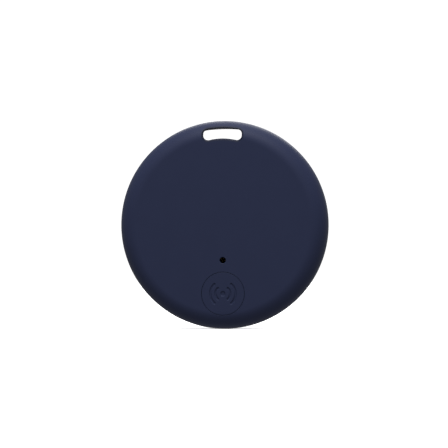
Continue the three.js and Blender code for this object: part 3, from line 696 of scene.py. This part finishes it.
def battery_cover():
    """The door's flange, skirt and lugs, with a coin slot sunk in its face."""
    skin = Skin(1)
    form = DOOR_FORM
    slot = Opening(coin_slot_outline, COIN_EDGE)
    rim = circle(0, 0, form.flat + form.reach, DOOR_STEPS)
    radii = [form.at(form.flat + form.run * ring / DOOR_RINGS)[0] for ring in range(DOOR_RINGS)]
    points = []
    for radius in [*radii, form.flat - HOLD]:
        points += [(x, z, 0.0) for x, z in circle(0, 0, radius, DOOR_STEPS)()]
    boundary, (slot_loops,) = cover_form(skin, form, rim(), [slot], points)
    floor = door_high.y - COIN_SLOT[2]
    foot = 0.12 * MM
    down = []
    for step in range(4):
        turn = step / 3 * math.pi / 2
        down.append(skin.loop(
            coin_slot_outline(-foot * (1 - math.cos(turn))), floor + foot * (1 - math.sin(turn))))
    skin.bridges([*slot_loops, *down])
    skin.faces.append(tuple(down[-1]))
    inner_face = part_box("cell_can")[1].y + 0.1 * MM
    small = 0.08 * MM
    skirt = circle(0, 0, SKIRT_OUTER, DOOR_STEPS)
    inside_skirt = circle(0, 0, SKIRT_INNER, DOOR_STEPS)
    under = [
        (rim(), FLANGE_UNDER + small), (rim(-small), FLANGE_UNDER), (skirt(), FLANGE_UNDER),
        (skirt(), SKIRT_END + small), (skirt(-small), SKIRT_END), (inside_skirt(small), SKIRT_END),
        (inside_skirt(), SKIRT_END + small), (inside_skirt(), inner_face),
    ]
    loops = [boundary, *[skin.loop(line, height) for line, height in under]]
    skin.bridges(loops)
    skin.fan(loops[-1], inner_face)
    door = skin.piece("battery_cover")
    lugs = []
    for i in range(3):
        turn = i * LUG_SPACE
        top = lambda angle, turn=turn: LUG_TOP + RAMP_PITCH * (angle - turn)
        bottom = lambda angle, top=top: top(angle) - LUG_THICKNESS
        lugs.append(bent_block(
            "lug", SKIRT_OUTER - LUG_ROOT, SKIRT_OUTER + LUG_REACH, turn - LUG_HALF, turn + LUG_HALF,
            bottom, top, 12))
    return shaded(combined(door, "UNION", *lugs))


# ---- switch ----
DOME_SHEET = 0.05 * MM


def snap_dome():
    """A thin sprung dome: its rim stands on the switch's floor, its crown is under the plunger."""
    low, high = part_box("switch_dome")
    radius = (high.x - low.x) / 2
    rise = high.y - low.y - DOME_SHEET
    steps = 10
    over = [(radius * i / steps, low.y + rise * (i / steps) ** 2) for i in range(steps + 1)]
    under = [(r, y + DOME_SHEET) for r, y in reversed(over)]
    return shaded(turned("snap_dome", over + under, 48, (low.z + high.z) / 2))


def flatten_with_press(dome):
    """Gives the dome a mesh of its own; its shape is left as it is."""
    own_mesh(dome)


# ================================================================ materials

class Value:
    """A socket of a node tree. Arithmetic on it adds Math nodes."""

    def __init__(self, tree, socket):
        self.tree = tree
        self.socket = socket

    def math(self, operation, *others):
        sockets = dict(enumerate((self, *others)))
        return self.tree.node("ShaderNodeMath", {"operation": operation}, sockets)

    def reflected(self, operation, other):
        return self.tree.node("ShaderNodeMath", {"operation": operation}, {0: other, 1: self})

    def __add__(self, other):
        return self.math("ADD", other)

    __radd__ = __add__

    def __sub__(self, other):
        return self.math("SUBTRACT", other)

    def __rsub__(self, other):
        return self.reflected("SUBTRACT", other)

    def __mul__(self, other):
        return self.math("MULTIPLY", other)

    __rmul__ = __mul__

    def __truediv__(self, other):
        return self.math("DIVIDE", other)

    def __rtruediv__(self, other):
        return self.reflected("DIVIDE", other)

    def __pow__(self, other):
        return self.math("POWER", other)

    def between(self, low, high):
        """0 below low, 1 above high, and smooth in between."""
        settings = {"interpolation_type": "SMOOTHSTEP"}
        return self.tree.node("ShaderNodeMapRange", settings, {0: self, 1: low, 2: high})


class Tree:
    """A node tree that is filled by one method."""

    def __init__(self, nodes):
        self.nodes = nodes

    def node(self, kind, settings, sockets, out=0):
        """Adds a node: its settings first, then the values or links of its sockets."""
        made = self.nodes.nodes.new(kind)
        for key, value in settings.items():
            setattr(made, key, value)
        live = [socket for socket in made.inputs if socket.enabled]
        for key, value in sockets.items():
            socket = live[key] if isinstance(key, int) else next(s for s in live if s.name == key)
            if isinstance(value, Value):
                self.nodes.links.new(value.socket, socket)
            elif isinstance(value, (list, tuple)) and isinstance(value[0], Value):
                for each in value:
                    self.nodes.links.new(each.socket, socket)
            else:
                socket.default_value = value
        given = [socket for socket in made.outputs if socket.enabled]
        if isinstance(out, str):
            return Value(self, next(s for s in given if s.name == out))
        return Value(self, given[out]) if given else None


class Paint(Tree):
    """A material's node tree around one Principled shader."""

    def __init__(self, name):
        self.material = bpy.data.materials.new(name)
        self.material.use_nodes = True
        super().__init__(self.material.node_tree)
        self.nodes.nodes.clear()
        self.place = self.node("ShaderNodeTexCoord", {}, {}, "Object")

    def noise(self, size, detail=2.0, roughness=0.5, place=None):
        """Noise from 0 to 1 whose features are about the given size in metres."""
        sockets = {"Vector": place or self.place, "Scale": 1 / size, "Detail": detail, "Roughness": roughness}
        return self.node("ShaderNodeTexNoise", {}, sockets, "Fac")

    def spots(self, size, out="Distance"):
        """Scattered points about the given size apart: how far off the nearest is, or its colour."""
        sockets = {"Vector": self.place, "Scale": 1 / size}
        return self.node("ShaderNodeTexVoronoi", {}, sockets, out)

    def mix(self, share, first, second):
        """A colour between two colours."""
        sockets = {"Factor": share, "A": with_alpha(first), "B": with_alpha(second)}
        return self.node("ShaderNodeMix", {"data_type": "RGBA"}, sockets)

    def bump(self, height, distance, strength=1.0):
        sockets = {"Height": height, "Distance": distance, "Strength": strength}
        return self.node("ShaderNodeBump", {}, sockets)

    def finish(self, **sockets):
        """Ends the tree in a Principled shader. Names use _ for a space."""
        named = {}
        for key, value in sockets.items():
            named[key.replace("_", " ")] = with_alpha(value) if isinstance(value, tuple) else value
        shader = self.node("ShaderNodeBsdfPrincipled", {}, named)
        self.node("ShaderNodeOutputMaterial", {}, {"Surface": shader})
        return self.material

    def parts(self):
        """The X, Y and Z of the place."""
        return [self.node("ShaderNodeSeparateXYZ", {}, {0: self.place}, out) for out in "XYZ"]


def with_alpha(color):
    return color if isinstance(color, Value) or len(color) == 4 else (*color, 1.0)


def shade(color, share):
    return tuple(c * share for c in color)


class Layout(Tree):
    """A geometry tree whose sizes are named inputs."""

    def __init__(self, name, sizes):
        super().__init__(bpy.data.node_groups.new(name, "GeometryNodeTree"))
        self.sizes = sizes
        sockets = self.nodes.interface
        for way in ("OUTPUT", "INPUT"):
            sockets.new_socket("Geometry", in_out=way, socket_type="NodeSocketGeometry")
        for label, value in sizes.items():
            kind = "NodeSocketInt" if isinstance(value, int) else "NodeSocketFloat"
            sockets.new_socket(label, in_out="INPUT", socket_type=kind)
        self.entry = self.nodes.nodes.new("NodeGroupInput")

    def __getitem__(self, label):
        return Value(self, self.entry.outputs[label])

    def piece(self, name, shape, material, place=(0, 0, 0), points=()):
        """Makes the shape a plain mesh, with its Z turned to -Y, at the place. Points, in the
        shape's own axes, are the geometry that the tree is given."""
        put = {0: shape, "Translation": place, "Rotation": (math.pi / 2, 0, 0)}
        placed = self.node("GeometryNodeTransform", {}, put)
        whole = self.node("GeometryNodeRealizeInstances", {}, {0: placed})
        painted = self.node("GeometryNodeSetMaterial", {}, {0: whole, "Material": material})
        self.node("NodeGroupOutput", {}, {0: painted})
        mesh = bpy.data.meshes.new(name)
        mesh.from_pydata(points, [], [])
        made = bpy.data.objects.new(name, mesh)
        bpy.context.scene.collection.objects.link(made)
        change = made.modifiers.new("layout", "NODES")
        change.node_group = self.nodes
        for item in self.nodes.interface.items_tree:
            if item.in_out == "INPUT" and item.name in self.sizes:
                change[item.identifier] = self.sizes[item.name]
        return settle(made)


NAVY = (0.0155, 0.0197, 0.0445)


def soft_touch_casing():
    """Moulded plastic under a soft-touch coat: fine sanded grain, faint clouding, worn high spots."""
    paint = Paint("soft_touch_casing")
    grain = paint.noise(0.09 * MM, 3.0, 0.6)
    cloud = paint.noise(4 * MM, 3.0, 0.55)
    rubs = paint.noise(1.3 * MM, 4.0, 0.7).between(0.58, 0.74)
    # Painted shade: a mask that darkens the slot's edge and walls to half the navy and makes them a little
    # less rough.
    bare = paint.node("ShaderNodeAttribute", {"attribute_name": "bare"}, {}, "Fac")
    tone = paint.mix(cloud, shade(NAVY, 0.96), shade(NAVY, 1.04))
    worn = paint.mix(rubs * 0.12, tone, shade(NAVY, 1.25))
    return paint.finish(
        # painted shade round the slot, over the clouded and worn navy
        Base_Color=paint.mix(bare, worn, shade(NAVY, 0.5)),
        Roughness=0.5 + 0.05 * (cloud - 0.5) + 0.05 * (grain - 0.5) - 0.03 * rubs - 0.1 * bare,
        Normal=paint.bump(grain, 0.006 * MM, 0.5),
        Specular_IOR_Level=0.07,
    )


def plain_metal(name, color, roughness):
    paint = Paint(name)
    scratch = paint.noise(0.12 * MM, 4.0, 0.7)
    cloud = paint.noise(1.5 * MM, 3.0)
    return paint.finish(
        Base_Color=paint.mix(cloud, shade(color, 0.9), color),
        Metallic=1.0,
        Roughness=roughness + 0.12 * (scratch - 0.5),
        Normal=paint.bump(scratch, 0.003 * MM, 0.4),
    )


def plain_moulding(name, color, roughness):
    paint = Paint(name)
    grain = paint.noise(0.08 * MM, 3.0, 0.6)
    cloud = paint.noise(1.2 * MM, 3.0)
    return paint.finish(
        Base_Color=paint.mix(cloud, shade(color, 0.88), color),
        Roughness=roughness + 0.1 * (grain - 0.5),
        Normal=paint.bump(grain, 0.004 * MM, 0.4),
    )


def solder_mask():
    """A fibre board under green mask: raised tracks, plated vias, and uncoated fibre round its edge."""
    paint = Paint("solder_mask")
    x, _, z = paint.parts()
    patch = paint.spots(4.2 * MM, out="Color")
    choice = paint.node("ShaderNodeSeparateColor", {}, {0: patch}, "Red")
    across = x + (z - x) * choice.between(0.48, 0.52)
    stripe = (across * (TAU / (0.62 * MM))).math("SINE").between(0.35, 0.6)
    track = stripe * choice.math("FRACT").between(0.2, 0.25)
    via = 1 - paint.spots(1.9 * MM).between(0.1, 0.12)
    radius = (x * x + (z - AXIS_Z) ** 2) ** 0.5
    fibre = radius.between(BOARD_RADIUS - 0.03 * MM, BOARD_RADIUS - 0.02 * MM)
    green = paint.mix(track, (0.004, 0.042, 0.02), (0.01, 0.085, 0.036))
    plated = paint.mix(via, green, (0.55, 0.5, 0.36))
    return paint.finish(
        Base_Color=paint.mix(fibre, plated, (0.32, 0.27, 0.13)),
        Metallic=via * (1 - fibre),
        Roughness=0.28 + 0.1 * via + 0.45 * fibre,
        Normal=paint.bump(track - via, 0.03 * MM, 0.7),
    )


def black_gauze():
    # Black wire, darkened below any real black so that the sound hole reads as in shade: its own black and
    # painted shade together.
    paint = Paint("black_gauze")
    dust = paint.noise(0.2 * MM)
    return paint.finish(
        Base_Color=paint.mix(dust, (0.0006, 0.0006, 0.0007), (0.001, 0.001, 0.0011)),
        Roughness=0.8 + 0.1 * dust,
        Specular_IOR_Level=0.02,
    )


def brushed_steel():
    """Pressed steel, finely brushed round the disc's axis, with a few handling scratches."""
    paint = Paint("brushed_steel")
    x, y, z = paint.parts()
    z = z - AXIS_Z
    radius = (x * x + z * z) ** 0.5
    turn = x.math("ARCTAN2", z)
    rings = paint.node("ShaderNodeCombineXYZ", {}, {"X": radius * 30, "Y": turn * MM, "Z": y * 30})
    brushed = paint.noise(MM, 3.0, 0.6, rings)
    marks = paint.noise(0.4 * MM, 6.0, 0.8).between(0.62, 0.7)
    return paint.finish(
        Base_Color=paint.mix(brushed, (0.5, 0.5, 0.5), (0.62, 0.62, 0.61)),
        Metallic=1.0,
        Roughness=0.24 + 0.14 * brushed + 0.1 * marks,
        Normal=paint.bump(brushed, 0.004 * MM, 0.5),
    )


def materials():
    return {
        "casing": soft_touch_casing(),
        "silicone": plain_moulding("silicone_rubber", (0.012, 0.012, 0.013), 0.62),
        "board": solder_mask(),
        "gauze": black_gauze(),
        "copper_wire": plain_metal("enamelled_copper", (0.7, 0.28, 0.1), 0.3),
        "solder": plain_metal("solder", (0.66, 0.66, 0.68), 0.26),
        "black_moulding": plain_moulding("black_moulding", (0.01, 0.01, 0.011), 0.5),
        "ferrite": plain_moulding("ferrite", (0.03, 0.029, 0.028), 0.6),
        "steel": brushed_steel(),
        "tinned_contact": plain_metal("tinned_contact", (0.62, 0.62, 0.6), 0.4),
        "brass": plain_metal("brass", (0.6, 0.39, 0.13), 0.33),
        "white_ceramic": plain_moulding("white_ceramic", (0.72, 0.69, 0.62), 0.5),
        "tape": plain_moulding("foam_tape", (0.05, 0.05, 0.052), 0.9),
        "wire_red": plain_moulding("red_wire", (0.35, 0.015, 0.015), 0.45),
        "wire_black": plain_moulding("black_wire", (0.015, 0.015, 0.015), 0.45),
        "passive": plain_moulding("capacitor_ceramic", (0.32, 0.22, 0.13), 0.4),
        "resistor": plain_moulding("resistor_glaze", (0.02, 0.02, 0.024), 0.3),
        "cell_gasket": plain_moulding("cell_gasket", (0.1, 0.1, 0.09), 0.6),
        "anode_metal": plain_metal("anode_metal", (0.45, 0.45, 0.43), 0.55),
        "separator": plain_moulding("separator", (0.7, 0.69, 0.64), 0.85),
        "cathode": plain_moulding("cathode", (0.02, 0.02, 0.021), 0.9),
    }


# ================================================================ repeated and ruled pieces

FINISHES = materials()


def round_wire(layout, path, radius, sides=8):
    """A round wire along a curve."""
    section = layout.node("GeometryNodeCurvePrimitiveCircle", {}, {"Resolution": sides, "Radius": radius})
    return layout.node("GeometryNodeCurveToMesh", {}, {"Curve": path, "Profile Curve": section,
                                                       "Fill Caps": True})


def woven_gauze():
    """Wires over and under each other inside a round rim, behind the sound hole."""
    low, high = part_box("sound_mesh")
    outer = (high.x - low.x) / 2
    wire = 0.024 * MM
    layout = Layout("woven_gauze", {
        "Radius": outer - wire, "Pitch": 0.066 * MM, "Wire": wire, "Wires": 27, "Points": 101})
    radius, pitch, wires = layout["Radius"], layout["Pitch"], layout["Wires"]
    points = layout.node("GeometryNodeMeshLine", {"mode": "END_POINTS"}, {
        "Count": layout["Points"],
        "Start Location": layout.node("ShaderNodeCombineXYZ", {}, {"X": 0 - radius}),
        "Offset": layout.node("ShaderNodeCombineXYZ", {}, {"X": radius})})
    place = layout.node("GeometryNodeInputPosition", {}, {})
    along = layout.node("ShaderNodeSeparateXYZ", {}, {0: place}, "X")
    wave = (along * (math.pi / pitch)).math("COSINE") * layout["Wire"]
    lift = layout.node("ShaderNodeCombineXYZ", {}, {"Z": wave})
    waved = layout.node("GeometryNodeSetPosition", {}, {"Geometry": points, "Offset": lift})
    strand = layout.node("GeometryNodeMeshToCurve", {}, {0: waved})
    step = layout.node("ShaderNodeCombineXYZ", {}, {"Y": pitch})
    start = layout.node("ShaderNodeCombineXYZ", {}, {"Y": 0 - pitch * (wires - 1) / 2})
    rows = layout.node("GeometryNodeMeshLine", {}, {"Count": wires, "Start Location": start, "Offset": step})
    index = layout.node("GeometryNodeInputIndex", {}, {})
    over = 1 - 2 * index.math("MODULO", 2)
    turn_over = layout.node("ShaderNodeCombineXYZ", {}, {"X": 1, "Y": 1, "Z": over})
    warp = layout.node("GeometryNodeInstanceOnPoints", {}, {
        "Points": rows, "Instance": strand, "Scale": turn_over})
    weft = layout.node("GeometryNodeTransform", {}, {
        0: warp, "Rotation": (0, 0, math.pi / 2), "Scale": (1, 1, -1)})
    both = layout.node("GeometryNodeJoinGeometry", {}, {0: (warp, weft)})
    loose = layout.node("GeometryNodeRealizeInstances", {}, {0: both})
    away = layout.node("ShaderNodeVectorMath", {"operation": "LENGTH"}, {0: place}, "Value")
    beyond = layout.node("FunctionNodeCompare", {"operation": "GREATER_THAN"}, {0: away, 1: radius})
    trimmed = layout.node("GeometryNodeDeleteGeometry", {}, {0: loose, 1: beyond})
    cloth = round_wire(layout, trimmed, layout["Wire"], 6)
    hoop = layout.node("GeometryNodeCurvePrimitiveCircle", {}, {"Resolution": 48, "Radius": radius})
    rim = round_wire(layout, hoop, layout["Wire"], 8)
    whole = layout.node("GeometryNodeJoinGeometry", {}, {0: (cloth, rim)})
    middle = (low + high) / 2
    return shaded(layout.piece("woven_gauze", whole, FINISHES["gauze"], middle))


def o_ring():
    low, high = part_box("door_seal")
    section = (high.y - low.y) / 2
    layout = Layout("o_ring", {"Radius": (high.x - low.x) / 2 - section, "Section": section})
    hoop = layout.node("GeometryNodeCurvePrimitiveCircle", {}, {
        "Resolution": 180, "Radius": layout["Radius"]})
    return shaded(layout.piece(
        "o_ring", round_wire(layout, hoop, layout["Section"], 20), FINISHES["silicone"], (low + high) / 2))


def coil_winding():
    """Turns of enamelled wire round the waist of the sounder's coil."""
    low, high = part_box("buzzer_coil")
    width, height = high.x - low.x, high.y - low.y
    wire = 0.028 * MM
    turns = 6
    layout = Layout("coil_winding", {
        "Radius": 0.4 * width, "Height": 2 * wire * turns, "Turns": turns, "Wire": wire})
    radius = layout["Radius"]
    helix = layout.node("GeometryNodeCurveSpiral", {}, {
        "Resolution": 40, "Rotations": layout["Turns"], "Start Radius": radius, "End Radius": radius,
        "Height": layout["Height"]})
    middle = (low + high) / 2
    foot = Vector((middle.x, high.y - 0.34 * height, middle.z))
    winding = round_wire(layout, helix, layout["Wire"], 6)
    return shaded(layout.piece("coil_winding", winding, FINISHES["copper_wire"], foot))


CHIPS = [f"capacitor_{i}" for i in range(1, 7)] + [f"resistor_{i}" for i in range(1, 5)]


def solder_joints():
    """A small fillet of solder at both ends of every chip part."""
    points = []
    for chip in CHIPS:
        low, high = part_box(chip)
        middle = (low.z + high.z) / 2
        points += [(x, middle, 0) for x in (low.x, high.x)]
    layout = Layout("solder_joints", {"Radius": 0.17 * MM, "Flatness": 0.75})
    bead = layout.node("GeometryNodeMeshUVSphere", {}, {
        "Segments": 14, "Rings": 8, "Radius": layout["Radius"]})
    size = layout.node("ShaderNodeCombineXYZ", {}, {"X": 0.8, "Y": 1.2, "Z": layout["Flatness"]})
    given = Value(layout, layout.entry.outputs["Geometry"])
    beads = layout.node("GeometryNodeInstanceOnPoints", {}, {
        "Points": given, "Instance": bead, "Scale": size})
    place = Vector((0, BOARD_FRONT, 0))
    return shaded(layout.piece("solder_joints", beads, FINISHES["solder"], place, points), 180)


# ================================================================ fitting out


def fit(piece, body, slot, *nodes):
    """Puts a piece on its body, in place of the nodes. A piece with no finish takes its slot's."""
    if not any(piece.data.materials):
        piece.data.materials.clear()
        piece.data.materials.append(FINISHES[slot])
    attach(piece, body)
    if nodes:
        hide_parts(*nodes)


def finish_nodes():
    """Gives each node of the frame the finish of its slot in the record."""
    for part in frame["record"]["subparts"]:
        mesh = frame["nodes"][part["node"]].data
        mesh.materials.clear()
        mesh.materials.append(FINISHES[part["material_slot"]])


finish_nodes()
fit(front_casing(), "case", "casing", "front_shell")
fit(back_casing(), "case", "casing", "back_shell")
fit(button_face(), "button", "casing", "button_cap")
fit(battery_cover(), "door", "casing", "battery_door")
fit(woven_gauze(), "case", "black_moulding", "sound_mesh")
fit(o_ring(), "seal", "silicone", "door_seal")
fit(coil_winding(), "case", "brass")
dome = snap_dome()
fit(dome, "case", "steel", "switch_dome")
flatten_with_press(dome)
fit(solder_joints(), "case", "tinned_contact")


# ================================================================ stage

BACKDROP_GLOW = 0.45           # the backdrop shines a little itself, so that it stays pale in shade
WORLD_LIGHT = 0.5
CAMERA_LENS = 251.4            # millimetres, on a 36 mm sensor
CAMERA_AZIMUTH = math.radians(5.8)
CAMERA_ROLL = math.radians(-0.25)
CAMERA_DISTANCE = 0.5575
CAMERA_TARGET = Vector((-0.144 * MM, 0, AXIS_Z + 0.153 * MM))


def backdrop():
    """A pale floor that sweeps up into a wall all round."""
    floor_z = AXIS_Z - RIM
    radius, curve = 0.55, 0.2
    profile = [(0, 0), (radius / 2, 0), (radius, 0)]
    profile += [(radius + curve * math.sin(t), curve * (1 - math.cos(t)))
                for t in (math.pi / 2 * i / 16 for i in range(1, 17))]
    profile.append((radius + curve, 0.9))
    steps = 96
    corners, faces = [], []
    for reach, rise in profile[1:]:
        for i in range(steps):
            turn = TAU * i / steps
            corners.append((reach * math.cos(turn), reach * math.sin(turn), floor_z + rise))
    corners.append((0, 0, floor_z))
    for row in range(len(profile) - 2):
        for i in range(steps):
            j = (i + 1) % steps
            a, b = row * steps, (row + 1) * steps
            faces.append((a + i, b + i, b + j, a + j))
    faces += [((i + 1) % steps, len(corners) - 1, i) for i in range(steps)]
    mesh = bpy.data.meshes.new("sweep")
    mesh.from_pydata(corners, [], faces)
    mesh.polygons.foreach_set("use_smooth", [True] * len(faces))
    sweep = bpy.data.objects.new("sweep", mesh)
    bpy.context.scene.collection.objects.link(sweep)
    paint = Paint("pale_sweep")
    mottle = paint.noise(0.05, 2.0)
    mesh.materials.append(paint.finish(
        Base_Color=paint.mix(mottle, (0.9, 0.9, 0.9), (0.92, 0.92, 0.92)),
        Roughness=0.9,
        Specular_IOR_Level=0.1,
        Emission_Color=(1.0, 1.0, 1.0),
        Emission_Strength=BACKDROP_GLOW,
    ))
    sweep.visible_diffuse = False
    sweep.visible_glossy = False
    sweep.visible_shadow = False


def area_light(name, azimuth, elevation, distance, size, power):
    """A round soft light aimed at the tag. Azimuth 0 is in front of it, 90 to its right."""
    turn, rise = math.radians(azimuth), math.radians(elevation)
    away = Vector((math.sin(turn) * math.cos(rise), -math.cos(turn) * math.cos(rise), math.sin(rise)))
    lamp = bpy.data.lights.new(name, "AREA")
    lamp.shape = "DISK"
    lamp.size = size
    lamp.energy = power
    made = bpy.data.objects.new(name, lamp)
    made.location = Vector((0, 0, AXIS_Z)) + away * distance
    made.rotation_mode = "QUATERNION"
    made.rotation_quaternion = (-away).to_track_quat("-Z", "Y")
    made.visible_camera = False
    bpy.context.scene.collection.objects.link(made)


def studio():
    backdrop()
    area_light("front_box", 0, 60, 0.4, 0.3, 2.2)
    area_light("top_box", 0, 88, 0.4, 0.4, 0.9)
    area_light("back_box", 180, 35, 0.4, 0.3, 0.9)
    world = bpy.data.worlds.new("studio")
    bpy.context.scene.world = world
    world.use_nodes = True
    world.node_tree.nodes["Background"].inputs["Color"].default_value = (1, 1, 1, 1)
    world.node_tree.nodes["Background"].inputs["Strength"].default_value = WORLD_LIGHT


def camera():
    view = bpy.data.cameras.new("camera")
    view.lens = CAMERA_LENS
    view.sensor_width = 36
    view.clip_start = 0.01
    made = bpy.data.objects.new("camera", view)
    bpy.context.scene.collection.objects.link(made)
    back = Vector((math.sin(CAMERA_AZIMUTH), -math.cos(CAMERA_AZIMUTH), 0))
    made.location = CAMERA_TARGET + back * CAMERA_DISTANCE
    made.rotation_mode = "QUATERNION"
    roll = Quaternion(back, CAMERA_ROLL)
    made.rotation_quaternion = roll @ (-back).to_track_quat("-Z", "Y")
    bpy.context.scene.camera = made


studio()
camera()
bpy.context.scene.view_settings.view_transform = "Standard"
